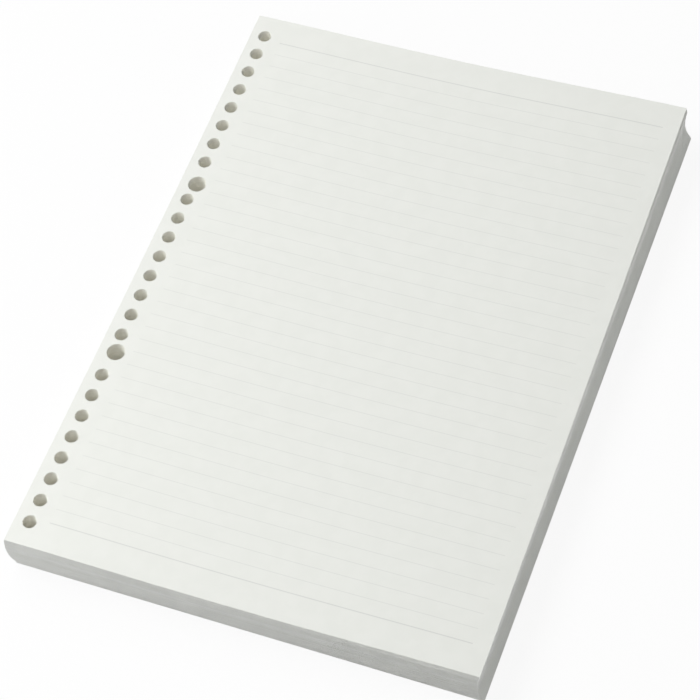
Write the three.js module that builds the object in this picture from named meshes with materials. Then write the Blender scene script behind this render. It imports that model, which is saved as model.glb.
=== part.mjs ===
// A pile of punched loose-leaf refill paper: ruled B5 leaves that lie loose on one another.
// The upper leaves are single leaves. The rest of the pile is in lifts: the small stacks of leaves
// that are cut and punched in one stroke, so a lift's holes stand exactly over one another.
// Millimetres, +Z up. The pile stands on Z = 0, and the origin is under the middle of its box.
import * as THREE from 'three';

// One leaf. X runs across it from the punched edge, and Y up it from the near end.
const LEAF_WIDTH = 182;
const LEAF_LENGTH = 257;
const LEAF_PITCH = 0.085; // one leaf, with the film of air over it
const AIR_FILM = 0.01;

// The row of punched holes along the leaf's long edge.
const HOLE_COUNT = 26;
const HOLE_PITCH = 9.5;
const HOLE_INSET = 6; // from the punched edge to the centres
const HOLE_DIAMETER = 5.5;
const WIDE_HOLES = [9, 18]; // two wider holes, counted along the row
const WIDE_HOLE_DIAMETER = 7.4;
const WIDE_HOLE_INSET = 7.1;
const WIDE_HOLE_SHIFT = 1.5; // towards the middle of the row
const HOLE_SIDES = 8;

// How the pile is made up.
const TOP_LEAVES = 8;
const LIFTS = 16;
const LEAVES_IN_LIFT = 12;
const PILE_HEIGHT = (TOP_LEAVES + LIFTS * LEAVES_IN_LIFT) * LEAF_PITCH;

// How the leaves stray from true down the pile, as they do when it is knocked square by hand.
const PILE_TWIST = THREE.MathUtils.degToRad(0.25); // the lowest leaf, turned clockwise
const BELLY = 0.5; // how far the middle of the pile swells past its punched edge
const BELLY_DEPTH = 0.8; // share of the height that swells
const FOOT_SLIP = 0.5; // how far the lowest leaf has slid the other way
const END_SLIP = 0.3; // how far the lowest leaf has slid towards the far end

const PAPER_COLOUR = 0xebece5;
const PAPER_ROUGHNESS = 0.9;

// The centre and the diameter of hole n, counted from the near end of the leaf.
function holeAt(n) {
  const firstHole = (LEAF_LENGTH - (HOLE_COUNT - 1) * HOLE_PITCH) / 2;
  const y = firstHole + n * HOLE_PITCH;
  if (!WIDE_HOLES.includes(n + 1)) return { x: HOLE_INSET, y, diameter: HOLE_DIAMETER };
  const shift = Math.sign(LEAF_LENGTH / 2 - y) * WIDE_HOLE_SHIFT;
  return { x: WIDE_HOLE_INSET, y: y + shift, diameter: WIDE_HOLE_DIAMETER };
}

// A hole's outline: a polygon that has the area of the round hole.
function holeOutline({ x, y, diameter }) {
  const step = (2 * Math.PI) / HOLE_SIDES;
  const radius = (diameter / 2) * Math.sqrt(step / Math.sin(step));
  const corners = [];
  for (let i = 0; i < HOLE_SIDES; i += 1) {
    corners.push(new THREE.Vector2(x + radius * Math.cos(i * step), y + radius * Math.sin(i * step)));
  }
  return new THREE.Path(corners);
}

// The outline of a punched leaf, with its near corner at the punched edge on the origin.
function leafOutline() {
  const outline = new THREE.Shape([
    new THREE.Vector2(0, 0),
    new THREE.Vector2(LEAF_WIDTH, 0),
    new THREE.Vector2(LEAF_WIDTH, LEAF_LENGTH),
    new THREE.Vector2(0, LEAF_LENGTH),
  ]);
  for (let n = 0; n < HOLE_COUNT; n += 1) outline.holes.push(holeOutline(holeAt(n)));
  return outline;
}

// Where a leaf lies that is this deep in the pile: its slip along X and Y, and its turn about Z.
function strayAt(depth) {
  const share = depth / PILE_HEIGHT;
  const belly = -BELLY * Math.sin(Math.PI * Math.min(share / BELLY_DEPTH, 1));
  const foot = FOOT_SLIP * THREE.MathUtils.smoothstep(share, BELLY_DEPTH, 1);
  return { x: belly + foot, y: END_SLIP * share, turn: -PILE_TWIST * share };
}

// A stack of leaves as one solid slab, resting at the given height in the pile.
function stackOfLeaves(name, leaves, height) {
  const thickness = leaves * LEAF_PITCH - AIR_FILM;
  const geometry = new THREE.ExtrudeGeometry(leafOutline(), { depth: thickness, bevelEnabled: false });
  const material = new THREE.MeshStandardMaterial({
    color: PAPER_COLOUR,
    roughness: PAPER_ROUGHNESS,
    metalness: 0,
  });
  const stack = new THREE.Mesh(geometry, material);
  stack.name = name;
  const stray = strayAt(PILE_HEIGHT - height - thickness / 2);
  stack.position.set(stray.x, stray.y, height);
  stack.rotation.z = stray.turn;
  return stack;
}

function twoDigits(number) {
  return String(number).padStart(2, '0');
}

// The pile from the bottom up: the lifts, and then the single leaves, counted from the top.
function pileOfLeaves() {
  const pile = new THREE.Group();
  let height = 0;
  for (let n = 1; n <= LIFTS; n += 1) {
    pile.add(stackOfLeaves(`leaf_lift_${twoDigits(n)}`, LEAVES_IN_LIFT, height));
    height += LEAVES_IN_LIFT * LEAF_PITCH;
  }
  for (let n = TOP_LEAVES; n >= 1; n -= 1) {
    pile.add(stackOfLeaves(`top_leaf_${n}`, 1, height));
    height += LEAF_PITCH;
  }
  const centre = new THREE.Box3().setFromObject(pile).getCenter(new THREE.Vector3());
  pile.position.set(-centre.x, -centre.y, 0);
  return pile;
}

const part = new THREE.Group();
part.add(pileOfLeaves());

export default part;
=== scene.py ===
import math

import bpy
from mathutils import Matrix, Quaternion, Vector
from mathutils.geometry import delaunay_2d_cdt


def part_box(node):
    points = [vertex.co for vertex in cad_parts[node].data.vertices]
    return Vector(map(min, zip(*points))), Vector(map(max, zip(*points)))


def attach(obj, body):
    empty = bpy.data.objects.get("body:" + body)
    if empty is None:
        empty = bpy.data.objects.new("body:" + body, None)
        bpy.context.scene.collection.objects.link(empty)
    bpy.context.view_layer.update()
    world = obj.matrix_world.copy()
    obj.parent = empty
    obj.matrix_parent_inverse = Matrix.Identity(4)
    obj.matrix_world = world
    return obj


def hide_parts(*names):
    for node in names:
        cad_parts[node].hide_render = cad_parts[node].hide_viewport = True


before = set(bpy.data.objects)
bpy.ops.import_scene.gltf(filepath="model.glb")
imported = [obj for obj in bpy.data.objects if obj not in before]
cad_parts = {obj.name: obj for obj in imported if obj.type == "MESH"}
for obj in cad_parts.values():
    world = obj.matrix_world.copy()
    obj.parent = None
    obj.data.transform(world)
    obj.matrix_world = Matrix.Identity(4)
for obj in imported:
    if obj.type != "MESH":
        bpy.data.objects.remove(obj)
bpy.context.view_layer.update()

MM = 0.001


# One punched leaf.
# A sheet of smooth writing paper, cut square to B5. A row of round holes is punched along one
# long edge, two of them wider than the rest, to take a binder's rings and its two posts.
LEAF_WIDTH = 182 * MM
LEAF_LENGTH = 257 * MM
LEAF_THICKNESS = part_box("top_leaf_1")[1][2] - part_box("top_leaf_1")[0][2]
HOLE_COUNT = 26
HOLE_PITCH = 9.5 * MM
HOLE_INSET = 6 * MM
HOLE_RADIUS = 2.75 * MM
WIDE_HOLES = (9, 18)  # counted from the near end
WIDE_HOLE_RADIUS = 3.7 * MM
WIDE_HOLE_INSET = 7.1 * MM
WIDE_HOLE_SHIFT = 1.5 * MM
HOLE_SIDES = 24
HOLE_MARGIN = 0.01  # the share of its radius within which a point counts as on a hole's wall
MESH_STEP = 11 * MM  # between the points that let the leaf bend
STEPS_ACROSS = round(LEAF_WIDTH / MESH_STEP)
STEPS_ALONG = round(LEAF_LENGTH / MESH_STEP)
CLEAR_OF_HOLE = 2 * MM
SAME_POINT = 1e-7  # closer than this, in metres, two points are one
LEAF_PLANE = "Leaf Plane"  # the UV map that holds each point's place on its own leaf, in metres
CUT_EDGE = "cut_edge"  # the face attribute that marks the outer edge, which the knife cut
PUNCHED_EDGE = "punched_edge"  # the face attribute that marks the walls of the holes


def hole_places():
    """The centre and radius of each hole, from the near end of the leaf."""
    first = (LEAF_LENGTH - (HOLE_COUNT - 1) * HOLE_PITCH) / 2
    for number in range(1, HOLE_COUNT + 1):
        y = first + (number - 1) * HOLE_PITCH
        if number in WIDE_HOLES:
            towards_middle = math.copysign(WIDE_HOLE_SHIFT, LEAF_LENGTH / 2 - y)
            yield Vector((WIDE_HOLE_INSET, y + towards_middle)), WIDE_HOLE_RADIUS
        else:
            yield Vector((HOLE_INSET, y)), HOLE_RADIUS


def leaf_loops(holes):
    """The leaf's outline and the outline of each hole, as closed rows of points."""
    near = [Vector((LEAF_WIDTH * i / STEPS_ACROSS, 0)) for i in range(STEPS_ACROSS)]
    right = [Vector((LEAF_WIDTH, LEAF_LENGTH * i / STEPS_ALONG)) for i in range(STEPS_ALONG)]
    corner = Vector((LEAF_WIDTH, LEAF_LENGTH))
    yield near + right + [corner - p for p in near] + [corner - p for p in right]
    for centre, radius in holes:
        turns = [2 * math.pi * i / HOLE_SIDES for i in range(HOLE_SIDES)]
        yield [centre + radius * Vector((math.cos(a), math.sin(a))) for a in turns]


def inner_points(holes):
    """A grid of points over the leaf, left out where it would come close to a hole."""
    for i in range(1, STEPS_ACROSS):
        for j in range(1, STEPS_ALONG):
            point = Vector((LEAF_WIDTH * i / STEPS_ACROSS, LEAF_LENGTH * j / STEPS_ALONG))
            if all((point - c).length > r + CLEAR_OF_HOLE for c, r in holes):
                yield point


def in_hole(corner, holes):
    """Whether a corner of the leaf lies on the wall of a hole."""
    return any((Vector(corner[:2]) - c).length < r * (1 + HOLE_MARGIN) for c, r in holes)


def mark_faces(mesh, name, marked):
    """Keeps on each face whether it is one of the marked ones."""
    mesh.attributes.new(name, "BOOLEAN", "FACE").data.foreach_set("value", marked)


def punched_leaf():
    """A leaf as a closed thin slab with its near corner at the punched edge on the origin."""
    holes = list(hole_places())
    points, rims = [], []
    for loop in leaf_loops(holes):
        start = len(points)
        points += loop
        rims += [(start + i, start + (i + 1) % len(loop)) for i in range(len(loop))]
    points += inner_points(holes)
    flat, _, triangles, *_ = delaunay_2d_cdt(points, rims, [], 0, SAME_POINT)

    def on_paper(triangle):
        middle = sum((flat[i] for i in triangle), Vector((0, 0))) / 3
        return all((middle - c).length > r * (1 - HOLE_MARGIN) for c, r in holes)

    triangles = [t for t in triangles if on_paper(t)]
    sides = {(a, b) for t in triangles for a, b in zip(t, t[1:] + t[:1])}
    edge = [(a, b) for a, b in sides if (b, a) not in sides]
    upper = len(flat)
    faces = [[i + upper for i in t] for t in triangles]
    faces += [list(reversed(t)) for t in triangles]
    faces += [[a, b, b + upper, a + upper] for a, b in sorted(edge)]
    corners = [(p.x, p.y, z) for z in (0, LEAF_THICKNESS) for p in flat]

    mesh = bpy.data.meshes.new("punched_leaf")
    mesh.from_pydata(corners, [], faces)
    place = mesh.uv_layers.new(name=LEAF_PLANE)
    for loop, uv in zip(mesh.loops, place.uv):
        uv.vector = mesh.vertices[loop.vertex_index].co.xy
    mark_faces(mesh, CUT_EDGE, [len(f) == 4 and not in_hole(corners[f[0]], holes) for f in faces])
    mark_faces(mesh, PUNCHED_EDGE, [len(f) == 4 and in_hole(corners[f[0]], holes) for f in faces])
    mesh.validate()
    return mesh


# The paper's finish.
# Uncoated wood-free stock, a little creamy, calendered smooth. Held to the light its fibres lie
# in faint clouds, and close up the surface has a fine tooth.
PAPER = (0.815, 0.826, 0.785, 1)
PAPER_CLOUD = (0.800, 0.812, 0.770, 1)
PAPER_ROUGHNESS = (0.81, 0.91)  # in the dips of the tooth, and on its peaks
PAPER_TOOTH = 0.012 * MM
TOOTH_STRENGTH = 0.35
SHEEN = 0.25


def new_group(name, inputs, outputs):
    """A shader node group with its input and output sockets, and its two end nodes."""
    group = bpy.data.node_groups.new(name, "ShaderNodeTree")
    for socket, kind, value in inputs:
        made = group.interface.new_socket(socket, in_out="INPUT", socket_type=kind)
        if value is not None:
            made.default_value = value
    for socket in outputs:
        group.interface.new_socket(socket, in_out="OUTPUT", socket_type="NodeSocketFloat")
    given = group.nodes.new("NodeGroupInput").outputs
    result = group.nodes.new("NodeGroupOutput").inputs
    return group, given, result


def feed(tree, socket, value):
    """Links a socket to an output, or gives it a plain value."""
    if isinstance(value, bpy.types.NodeSocket):
        tree.links.new(value, socket)
    elif value is not None:
        socket.default_value = value


def maths(tree, operation, first, second=None):
    """The result of a Math node."""
    node = tree.nodes.new("ShaderNodeMath")
    node.operation = operation
    feed(tree, node.inputs[0], first)
    feed(tree, node.inputs[1], second)
    return node.outputs[0]


def ramp(tree, value, low, high, to_low=0.0, to_high=1.0):
    """Runs from to_low to to_high as the value goes from low to high, and no further."""
    node = tree.nodes.new("ShaderNodeMapRange")
    node.interpolation_type = "SMOOTHSTEP"
    for socket, given in zip(node.inputs, (value, low, high, to_low, to_high)):
        feed(tree, socket, given)
    return node.outputs[0]


def noise(tree, vector, scale, detail=2.0, roughness=0.5):
    node = tree.nodes.new("ShaderNodeTexNoise")
    feed(tree, node.inputs["Vector"], vector)
    feed(tree, node.inputs["Scale"], scale)
    node.inputs["Detail"].default_value = detail
    node.inputs["Roughness"].default_value = roughness
    return node.outputs["Fac"]


def paper_grain():
    """Cloud: how thick the fibres lie. Tooth: the height of the surface."""
    group, given, result = new_group(
        "Paper Grain",
        [
            ("Position", "NodeSocketVector", None),
            ("Clouds per Metre", "NodeSocketFloat", 130.0),
            ("Fibres per Metre", "NodeSocketFloat", 2600.0),
        ],
        ["Cloud", "Tooth"],
    )
    cloud = noise(group, given["Position"], given["Clouds per Metre"], 4.0, 0.55)
    feed(group, result["Cloud"], ramp(group, cloud, 0.35, 0.65))
    tooth = noise(group, given["Position"], given["Fibres per Metre"], 3.0, 0.6)
    feed(group, result["Tooth"], tooth)
    return group


def mix_colours(tree, share, first, second):
    """The first colour where the share is 0, and the second where it is 1."""
    node = tree.nodes.new("ShaderNodeMix")
    node.data_type = "RGBA"
    feed(tree, node.inputs["Factor"], share)
    feed(tree, node.inputs[6], first)
    feed(tree, node.inputs[7], second)
    return node.outputs[2]


def place_group(tree, group, **links):
    """Places a node group with the inputs that are given, and returns its outputs."""
    node = tree.nodes.new("ShaderNodeGroup")
    node.node_tree = group
    for name, value in links.items():
        feed(tree, node.inputs[name.replace("_", " ")], value)
    return node.outputs


def new_material(name):
    """A material with its Principled BSDF and the position that its patterns read."""
    material = bpy.data.materials.new(name)
    material.use_nodes = True
    tree = material.node_tree
    shader = tree.nodes["Principled BSDF"]
    shader.inputs["Specular IOR Level"].default_value = SHEEN
    position = tree.nodes.new("ShaderNodeTexCoord").outputs["Object"]
    return material, tree, shader, position


def add_tooth(tree, shader, height, depth, roughness):
    """Raises the surface by its tooth, and makes the peaks rougher than the dips."""
    bump = tree.nodes.new("ShaderNodeBump")
    bump.inputs["Strength"].default_value = TOOTH_STRENGTH
    bump.inputs["Distance"].default_value = depth
    feed(tree, bump.inputs["Height"], height)
    feed(tree, shader.inputs["Normal"], bump.outputs["Normal"])
    feed(tree, shader.inputs["Roughness"], ramp(tree, height, 0.3, 0.7, *roughness))


GRAIN = paper_grain()


# The ruling.
# Forty lines printed in thin grey ink, 6 mm apart. They stop short of the holes and of the
# outer edge, and the first and the last are printed heavier.
LINE_COUNT = 40
LINE_PITCH = 6 * MM
FIRST_LINE = 11.5 * MM
LAST_LINE = FIRST_LINE + (LINE_COUNT - 1) * LINE_PITCH
LINES_START = 13.3 * MM  # from the punched edge
LINES_END = 175.6 * MM
FINE_WIDTH = 0.28 * MM
HEAVY_WIDTH = 0.4 * MM
FADE_START = 0.35  # the ink fades out between these, as shares of the width from a line's middle
FADE_END = 0.65
INK = (0.46, 0.47, 0.46, 1)
FINE_STRENGTH = 0.22
HEAVY_STRENGTH = 0.36


def ruling():
    """Fine and Heavy: where each kind of line is printed on the leaf."""
    group, given, result = new_group(
        "Ruling",
        [
            ("Leaf Plane", "NodeSocketVector", None),
            ("Line Pitch", "NodeSocketFloat", LINE_PITCH),
            ("First Line", "NodeSocketFloat", FIRST_LINE),
            ("Last Line", "NodeSocketFloat", LAST_LINE),
            ("Start", "NodeSocketFloat", LINES_START),
            ("End", "NodeSocketFloat", LINES_END),
            ("Fine Width", "NodeSocketFloat", FINE_WIDTH),
            ("Heavy Width", "NodeSocketFloat", HEAVY_WIDTH),
        ],
        ["Fine", "Heavy"],
    )
    split = group.nodes.new("ShaderNodeSeparateXYZ")
    feed(group, split.inputs[0], given["Leaf Plane"])
    across, along = split.outputs["X"], split.outputs["Y"]
    started = maths(group, "GREATER_THAN", across, given["Start"])
    ended = maths(group, "GREATER_THAN", across, given["End"])
    between = maths(group, "SUBTRACT", started, ended)

    def line(distance, width):
        outside = maths(group, "MULTIPLY", width, FADE_END)
        inside = maths(group, "MULTIPLY", width, FADE_START)
        return maths(group, "MULTIPLY", ramp(group, distance, outside, inside), between)

    from_first = maths(group, "SUBTRACT", along, given["First Line"])
    from_last = maths(group, "SUBTRACT", along, given["Last Line"])
    to_first = maths(group, "ABSOLUTE", from_first)
    to_last = maths(group, "ABSOLUTE", from_last)
    to_outermost = maths(group, "MINIMUM", to_first, to_last)
    feed(group, result["Heavy"], line(to_outermost, given["Heavy Width"]))
    steps = maths(group, "DIVIDE", from_first, given["Line Pitch"])
    off_line = maths(group, "SUBTRACT", steps, maths(group, "ROUND", steps))
    distance = maths(group, "MULTIPLY", maths(group, "ABSOLUTE", off_line), given["Line Pitch"])
    after_first = maths(group, "GREATER_THAN", from_first, 0.5 * LINE_PITCH)
    before_last = maths(group, "LESS_THAN", from_last, -0.5 * LINE_PITCH)
    inner = maths(group, "MULTIPLY", after_first, before_last)
    feed(group, result["Fine"], maths(group, "MULTIPLY", line(distance, given["Fine Width"]), inner))
    return group


def ruled_paper():
    """The faces of a leaf: cloudy paper with the lines printed on it."""
    material, tree, shader, position = new_material("ruled_paper")
    grain = place_group(tree, GRAIN, Position=position)
    plane = tree.nodes.new("ShaderNodeUVMap")
    plane.uv_map = LEAF_PLANE
    lines = place_group(tree, ruling(), Leaf_Plane=plane.outputs[0])
    fine = maths(tree, "MULTIPLY", lines["Fine"], FINE_STRENGTH)
    heavy = maths(tree, "MULTIPLY", lines["Heavy"], HEAVY_STRENGTH)
    ink = maths(tree, "MAXIMUM", fine, heavy)
    blank = mix_colours(tree, grain["Cloud"], PAPER_CLOUD, PAPER)
    feed(tree, shader.inputs["Base Color"], mix_colours(tree, ink, blank, INK))
    add_tooth(tree, shader, grain["Tooth"], PAPER_TOOTH, PAPER_ROUGHNESS)
    return material


# The cut edges.
# Where the knife and the punch went through, each leaf shows a raw edge. Together they make a
# soft grey face with fine streaks along the leaves and fainter ones where the knife came down.
EDGE_LIGHT = (0.82, 0.823, 0.816, 1)
EDGE_DARK = (0.66, 0.663, 0.66, 1)
# The walls of the holes are painted lighter and warmer than the knife-cut edge of the same paper:
# painted light, standing in for light that bounces inside the holes and seeps through the paper.
# Their streaks between the two tones are the paper's own.
PUNCHED_LIGHT = (0.95, 0.94, 0.89, 1)
PUNCHED_DARK = (0.80, 0.78, 0.72, 1)
# A painted glow in the walls of the holes: an even emission that stands in for light seeping through
# the paper, and stays the same in shade.
PAINTED_SEEPING_GLOW = (0.073, 0.071, 0.064, 1)  # what comes through the paper into its holes
EDGE_ROUGHNESS = (0.90, 0.95)
EDGE_TOOTH = 0.02 * MM
EDGE_FIBRES_PER_METRE = 3500.0
LEAVES_PER_STREAK = 6
STREAKS_PER_METRE = 14  # along the edge
CLOUD_IN_EDGE = 0.08  # the share of an edge's tone that the fibres' clouds make


def edge_paper(name, dark, light):
    """The raw edges of many leaves, between a dark and a light tone."""
    material, tree, shader, position = new_material(name)
    grain = place_group(tree, GRAIN, Position=position, Fibres_per_Metre=EDGE_FIBRES_PER_METRE)
    flatten = tree.nodes.new("ShaderNodeMapping")
    streak_pitch = LEAVES_PER_STREAK * LEAF_THICKNESS
    flatten.inputs["Scale"].default_value = (STREAKS_PER_METRE, STREAKS_PER_METRE, 1 / streak_pitch)
    feed(tree, flatten.inputs["Vector"], position)
    streak = noise(tree, flatten.outputs[0], 1.0, 3.0, 0.7)
    patch = maths(tree, "MULTIPLY", grain["Cloud"], CLOUD_IN_EDGE)
    tone = maths(tree, "ADD", maths(tree, "MULTIPLY", streak, 1 - CLOUD_IN_EDGE), patch)
    lightness = ramp(tree, tone, 0.25, 0.75)
    feed(tree, shader.inputs["Base Color"], mix_colours(tree, lightness, dark, light))
    add_tooth(tree, shader, grain["Tooth"], EDGE_TOOTH, EDGE_ROUGHNESS)
    return material


def punched_paper():
    """The walls of the holes: raw edges painted lighter and warmer, with a painted glow for light
    seeping through the paper.
    """
    material = edge_paper("punched_edge", PUNCHED_DARK, PUNCHED_LIGHT)
    shader = material.node_tree.nodes["Principled BSDF"]
    shader.inputs["Emission Color"].default_value = PAINTED_SEEPING_GLOW
    shader.inputs["Emission Strength"].default_value = 1.0
    return material


# The pile.
# Loose leaves lie on one another, knocked square by hand and not quite true: halfway down they
# swell past the punched edge, at the foot they have slid the other way, and the uppermost lie a
# little turned on the rest. The pile sags in the middle, where its own weight pressed out the air.
LEAF_PITCH = 0.085 * MM  # one leaf, with the film of air over it
TOP_LEAVES = 8
LIFTS = 16
LEAVES_IN_LIFT = 12
PILE_HEIGHT = (TOP_LEAVES + LIFTS * LEAVES_IN_LIFT) * LEAF_PITCH
BELLY = 1.2 * MM  # how far the leaves swell past the punched edge, halfway down
FOOT_SLIP = 0.95 * MM  # how far the lowest leaf has slid the other way
FOOT_TOP = 0.7  # how far down the foot starts, as a share of the height
FOOT_END_SLIP = 0.15 * MM  # and how far towards the far end
TOP_TURN = math.radians(0.21)  # clockwise, from the top leaf to those beneath it
TOP_TURN_END = 0.12  # how far down that turn ends, as a share of the height
FOOT_TURN = math.radians(0.11)  # clockwise, and added to the other
FOOT_TURN_TOP = 0.5  # how far down this one starts
STRAY_SLIP = 0.07 * MM  # of a single leaf, either way
STRAY_TURN = math.radians(0.015)
TROUGH = 1.5 * MM  # how far the middle of the top leaf lies below its long edges
LONG_SAG = 1.2 * MM  # and how far it lies below its ends
CORNER_LIFT = 0.4 * MM  # how far the air between the leaves lifts the top leaf's corners
FAR_LIFT = 0.3 * MM  # how much more it lifts the far ones
TROUGH_POWER = 2.0  # how flat the long edges stay
FAR_LIFT_POWER = 6.0  # how near to the far end its lift keeps
SHARP_ANGLE = math.radians(40)  # two faces that meet at more than this meet in a crisp line


def place(tree):
    """The X, Y and Z of the point that is worked on."""
    split = tree.nodes.new("ShaderNodeSeparateXYZ")
    feed(tree, split.inputs[0], tree.nodes.new("GeometryNodeInputPosition").outputs[0])
    return split.outputs[0], split.outputs[1], split.outputs[2]


def vector(tree, x, y, z):
    """A vector made of three numbers or outputs."""
    node = tree.nodes.new("ShaderNodeCombineXYZ")
    for socket, value in zip(node.inputs, (x, y, z)):
        feed(tree, socket, value)
    return node.outputs[0]


def vector_sum(tree, first, second):
    """The sum of two vectors."""
    node = tree.nodes.new("ShaderNodeVectorMath")
    feed(tree, node.inputs[0], first)
    feed(tree, node.inputs[1], second)
    return node.outputs[0]


def leaf_way(tree, given):
    """How far the leaf at this height has slipped along X and Y, and its turn about Z."""
    middle = maths(tree, "ADD", place(tree)[2], maths(tree, "MULTIPLY", given["Leaf Pitch"], 0.5))
    depth = maths(tree, "SUBTRACT", given["Pile Height"], middle)
    share = maths(tree, "DIVIDE", depth, given["Pile Height"])
    swell = maths(tree, "SINE", maths(tree, "MULTIPLY", share, math.pi))
    foot = ramp(tree, share, given["Foot Top"], 1.0)
    slid = maths(tree, "MULTIPLY", foot, given["Foot Slip"])
    across = maths(tree, "SUBTRACT", slid, maths(tree, "MULTIPLY", swell, given["Belly"]))
    along = maths(tree, "MULTIPLY", foot, given["Foot End Slip"])
    top_turn = ramp(tree, share, 0.0, given["Top Turn End"], 0.0, given["Top Turn"])
    foot_turn = ramp(tree, share, given["Foot Turn Top"], 1.0, 0.0, given["Foot Turn"])
    turn = maths(tree, "MULTIPLY", maths(tree, "ADD", top_turn, foot_turn), -1.0)
    return vector(tree, across, along, turn)


def leaf_stray(tree, given):
    """A small slip and turn of its own for each leaf."""
    least = tree.nodes.new("ShaderNodeVectorMath")
    least.operation = "SCALE"
    feed(tree, least.inputs[0], given["Stray"])
    feed(tree, least.inputs["Scale"], -1.0)
    chance = tree.nodes.new("FunctionNodeRandomValue")
    chance.data_type = "FLOAT_VECTOR"
    feed(tree, chance.inputs[0], least.outputs[0])
    feed(tree, chance.inputs[1], given["Stray"])
    feed(tree, chance.inputs["Seed"], given["Seed"])
    return chance.outputs[0]


def leaf_sag(tree, given):
    """How each point sinks or rises: most at the top of the pile, and not at all at its foot."""
    x, y, z = place(tree)
    corner = tree.nodes.new("ShaderNodeSeparateXYZ")
    feed(tree, corner.inputs[0], given["Near Corner"])
    across = maths(tree, "DIVIDE", maths(tree, "SUBTRACT", x, corner.outputs["X"]), LEAF_WIDTH)
    along = maths(tree, "DIVIDE", maths(tree, "SUBTRACT", y, corner.outputs["Y"]), LEAF_LENGTH)

    def hump(share):
        """Nothing at either edge, and 1 halfway between them."""
        rest = maths(tree, "SUBTRACT", 1.0, share)
        whole = maths(tree, "MULTIPLY", maths(tree, "MULTIPLY", share, rest), 4.0)
        return maths(tree, "MAXIMUM", whole, 0.0)

    hollow = maths(tree, "POWER", hump(across), TROUGH_POWER)
    trough = maths(tree, "MULTIPLY", hollow, given["Trough"])
    long_sag = maths(tree, "MULTIPLY", hump(along), given["Long Sag"])
    rise = maths(tree, "POWER", along, FAR_LIFT_POWER)
    far_lift = maths(tree, "MULTIPLY", rise, given["Far Lift"])
    lift = maths(tree, "ADD", far_lift, given["Corner Lift"])
    drop = maths(tree, "SUBTRACT", maths(tree, "ADD", trough, long_sag), lift)
    up = maths(tree, "DIVIDE", z, given["Pile Height"])
    down = maths(tree, "MULTIPLY", maths(tree, "MULTIPLY", drop, up), -1.0)
    return vector(tree, 0.0, 0.0, down)


def stack_tree():
    """Geometry Nodes: repeats a leaf upwards, strays each one, and lets the stack sag."""
    tree = bpy.data.node_groups.new("Stack of Leaves", "GeometryNodeTree")
    sizes = {
        "Leaf": ("NodeSocketGeometry", None),
        "Leaves": ("NodeSocketInt", 1),
        "Leaf Pitch": ("NodeSocketFloat", LEAF_PITCH),
        "Height": ("NodeSocketFloat", 0.0),
        "Pile Height": ("NodeSocketFloat", PILE_HEIGHT),
        "Near Corner": ("NodeSocketVector", (0, 0, 0)),
        "Belly": ("NodeSocketFloat", BELLY),
        "Foot Top": ("NodeSocketFloat", FOOT_TOP),
        "Foot Slip": ("NodeSocketFloat", FOOT_SLIP),
        "Foot End Slip": ("NodeSocketFloat", FOOT_END_SLIP),
        "Top Turn": ("NodeSocketFloat", TOP_TURN),
        "Top Turn End": ("NodeSocketFloat", TOP_TURN_END),
        "Foot Turn": ("NodeSocketFloat", FOOT_TURN),
        "Foot Turn Top": ("NodeSocketFloat", FOOT_TURN_TOP),
        "Stray": ("NodeSocketVector", (STRAY_SLIP, STRAY_SLIP, STRAY_TURN)),
        "Trough": ("NodeSocketFloat", TROUGH),
        "Long Sag": ("NodeSocketFloat", LONG_SAG),
        "Corner Lift": ("NodeSocketFloat", CORNER_LIFT),
        "Far Lift": ("NodeSocketFloat", FAR_LIFT),
        "Seed": ("NodeSocketInt", 0),
        "Paper": ("NodeSocketMaterial", None),
        "Cut Edge": ("NodeSocketMaterial", None),
        "Punched Edge": ("NodeSocketMaterial", None),
    }
    for name, (kind, value) in sizes.items():
        socket = tree.interface.new_socket(name, in_out="INPUT", socket_type=kind)
        if value is not None:
            socket.default_value = value
    tree.interface.new_socket("Stack", in_out="OUTPUT", socket_type="NodeSocketGeometry")
    given = tree.nodes.new("NodeGroupInput").outputs

    def node(kind, **links):
        made = tree.nodes.new(kind)
        for name, value in links.items():
            feed(tree, made.inputs[name.replace("_", " ")], value)
        return made

    line = node(
        "GeometryNodeMeshLine",
        Count=given["Leaves"],
        Start_Location=vector(tree, 0.0, 0.0, given["Height"]),
        Offset=vector(tree, 0.0, 0.0, given["Leaf Pitch"]),
    )
    way = tree.nodes.new("ShaderNodeSeparateXYZ")
    feed(tree, way.inputs[0], vector_sum(tree, leaf_way(tree, given), leaf_stray(tree, given)))
    slip = vector(tree, way.outputs["X"], way.outputs["Y"], 0.0)
    points = node(
        "GeometryNodeSetPosition",
        Geometry=line.outputs[0],
        Offset=vector_sum(tree, slip, given["Near Corner"]),
    )
    turn = node("FunctionNodeEulerToRotation", Euler=vector(tree, 0.0, 0.0, way.outputs["Z"]))
    leaves = node(
        "GeometryNodeInstanceOnPoints",
        Points=points.outputs[0],
        Instance=given["Leaf"],
        Rotation=turn.outputs[0],
    )
    real = node("GeometryNodeRealizeInstances", Geometry=leaves.outputs[0])
    stack = node("GeometryNodeSetPosition", Geometry=real.outputs[0], Offset=leaf_sag(tree, given))
    stack = node("GeometryNodeSetMaterial", Geometry=stack.outputs[0], Material=given["Paper"])
    for mark, material in ((CUT_EDGE, given["Cut Edge"]), (PUNCHED_EDGE, given["Punched Edge"])):
        marked = node("GeometryNodeInputNamedAttribute", Name=mark)
        marked.data_type = "BOOLEAN"
        stack = node(
            "GeometryNodeSetMaterial",
            Geometry=stack.outputs[0],
            Selection=marked.outputs[0],
            Material=material,
        )
    tree.links.new(stack.outputs[0], tree.nodes.new("NodeGroupOutput").inputs["Stack"])
    return tree


STACK = stack_tree()
LEAF = punched_leaf()
NEAR_CORNER = Vector((*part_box("top_leaf_1")[0][:2], 0))
PAPERS = {
    "Paper": ruled_paper(),
    "Cut Edge": edge_paper("knife_cut_edge", EDGE_DARK, EDGE_LIGHT),
    "Punched Edge": punched_paper(),
}


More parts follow.
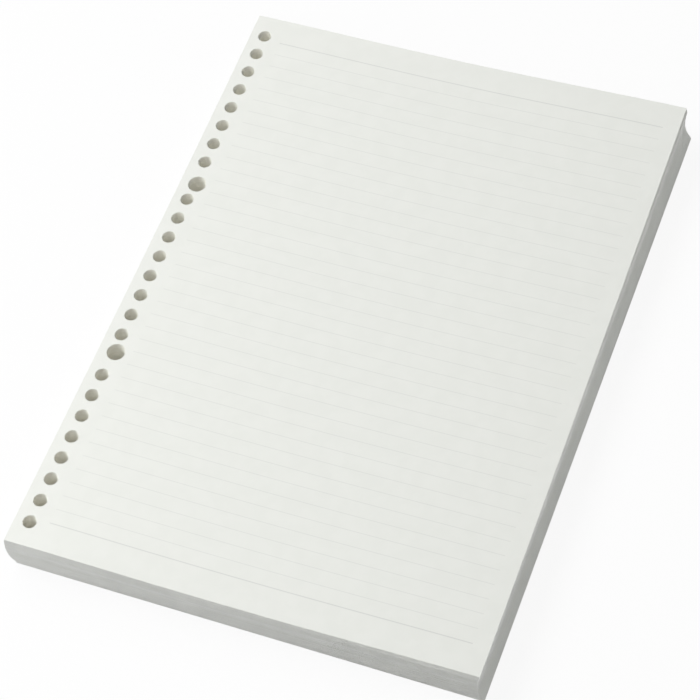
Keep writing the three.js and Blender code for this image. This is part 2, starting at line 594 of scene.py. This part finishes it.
def stack(name, node, leaves, height, seed):
    """Leaves of the pile from this height up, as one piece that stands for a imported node."""
    piece = bpy.data.objects.new(name, LEAF)
    bpy.context.scene.collection.objects.link(piece)
    modifier = piece.modifiers.new("stack", "NODES")
    modifier.node_group = STACK
    values = {"Leaves": leaves, "Height": height, "Seed": seed, "Near Corner": NEAR_CORNER, **PAPERS}
    for socket in STACK.interface.items_tree:
        if socket.name in values and socket.in_out == "INPUT":
            modifier[socket.identifier] = values[socket.name]
    evaluated = piece.evaluated_get(bpy.context.evaluated_depsgraph_get())
    piece.data = bpy.data.meshes.new_from_object(evaluated)
    piece.modifiers.clear()
    piece.data.name = name
    piece.data.shade_smooth()
    piece.data.set_sharp_from_angle(angle=SHARP_ANGLE)
    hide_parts(node)
    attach(piece, node)


height = 0.0
for number in range(1, LIFTS + 1):
    stack(f"lift_{number:02d}_leaves", f"leaf_lift_{number:02d}", LEAVES_IN_LIFT, height, number)
    height += LEAVES_IN_LIFT * LEAF_PITCH
for number in range(TOP_LEAVES, 0, -1):
    stack(f"single_leaf_{number}", f"top_leaf_{number}", 1, height, LIFTS + number)
    height += LEAF_PITCH


# The studio.
# A white table under a wide soft light from the left, with weaker ones all round. The table
# glows to the camera alone, so that the pile's shadow on it stays faint.
FLOOR_SIZE = 6.0
FLOOR_WHITE = (0.85, 0.85, 0.85, 1)
FLOOR_GLOW = 0.9  # the share of its light that is a glow, as the camera sees it
LIGHT_BOUNCES = 8  # as many as light needs to come out of the holes again


def white_floor():
    """The table top, matt and white, with its glow."""
    mesh = bpy.data.meshes.new("studio_floor")
    half = FLOOR_SIZE / 2
    corners = [(-half, -half, 0), (half, -half, 0), (half, half, 0), (-half, half, 0)]
    mesh.from_pydata(corners, [], [(0, 1, 2, 3)])
    floor = bpy.data.objects.new("studio_floor", mesh)
    bpy.context.scene.collection.objects.link(floor)
    material = bpy.data.materials.new("studio_white")
    material.use_nodes = True
    tree = material.node_tree
    matt = tree.nodes["Principled BSDF"]
    matt.inputs["Base Color"].default_value = FLOOR_WHITE
    matt.inputs["Roughness"].default_value = 1.0
    glow = tree.nodes.new("ShaderNodeEmission")
    seen_directly = tree.nodes.new("ShaderNodeLightPath").outputs["Is Camera Ray"]
    mixed = tree.nodes.new("ShaderNodeMixShader")
    feed(tree, mixed.inputs[0], maths(tree, "MULTIPLY", seen_directly, FLOOR_GLOW))
    feed(tree, mixed.inputs[1], matt.outputs[0])
    feed(tree, mixed.inputs[2], glow.outputs[0])
    feed(tree, tree.nodes["Material Output"].inputs["Surface"], mixed.outputs[0])
    mesh.materials.append(material)


def soft_light(name, place, size, power):
    """A round soft light aimed at the foot of the pile: place and size in metres, power in watts."""
    lamp = bpy.data.lights.new(name, "AREA")
    lamp.shape = "DISK"
    lamp.size = size
    lamp.energy = power
    made = bpy.data.objects.new(name, lamp)
    made.location = place
    made.rotation_euler = (-Vector(place)).to_track_quat("-Z", "Y").to_euler()
    bpy.context.scene.collection.objects.link(made)


def pale_world(seen, lighting):
    """A plain pale surround, seen at one strength and lighting the pile at another."""
    world = bpy.data.worlds.new("studio_world")
    world.use_nodes = True
    tree = world.node_tree
    background = tree.nodes["Background"].inputs
    background["Color"].default_value = (1, 1, 1, 1)
    seen_directly = tree.nodes.new("ShaderNodeLightPath").outputs["Is Camera Ray"]
    more = maths(tree, "MULTIPLY", seen_directly, seen - lighting)
    feed(tree, background["Strength"], maths(tree, "ADD", more, lighting))
    bpy.context.scene.world = world


white_floor()
soft_light("left_softbox", (-0.9, 0, 1.2), 0.9, 14.7)
soft_light("far_left_softbox", (-0.7, 0.7, 1.0), 0.8, 6.2)
soft_light("near_softbox", (0, -0.9, 1.2), 0.9, 3.2)
soft_light("low_near_softbox", (-0.3, -0.9, 0.3), 0.5, 0.8)
soft_light("low_right_softbox", (0.9, 0.3, 0.5), 0.6, 1.9)
soft_light("right_lamp", (0.9, -0.2, 0.2), 0.4, 0.7)
soft_light("low_right_lamp", (0.9, 0.1, 0.08), 0.15, 1.9)
soft_light("near_left_lamp", (-0.35, -0.35, 0.25), 0.25, 0.44)
pale_world(seen=1.0, lighting=0.01)
bpy.context.scene.view_settings.view_transform = "Standard"
bpy.context.scene.cycles.diffuse_bounces = LIGHT_BOUNCES


# The camera.
# Above the near right corner of the pile, rolled a little so that the pile runs corner to corner.
CAMERA_PLACE = Vector((0.24195, -0.44975, 0.76862))
CAMERA_AIM = Vector((0.00134, -0.01539, 0.01700))
CAMERA_ROLL = math.radians(10.53)
CAMERA_LENS = 123.5  # millimetres, as the sensor's width is
SENSOR_WIDTH = 36

camera = bpy.data.objects.new("camera", bpy.data.cameras.new("camera"))
camera.data.lens = CAMERA_LENS
camera.data.sensor_width = SENSOR_WIDTH
camera.location = CAMERA_PLACE
aimed = (CAMERA_AIM - CAMERA_PLACE).to_track_quat("-Z", "Y")
camera.rotation_mode = "QUATERNION"
camera.rotation_quaternion = aimed @ Quaternion((0, 0, 1), -CAMERA_ROLL)
bpy.context.scene.collection.objects.link(camera)
bpy.context.scene.camera = camera
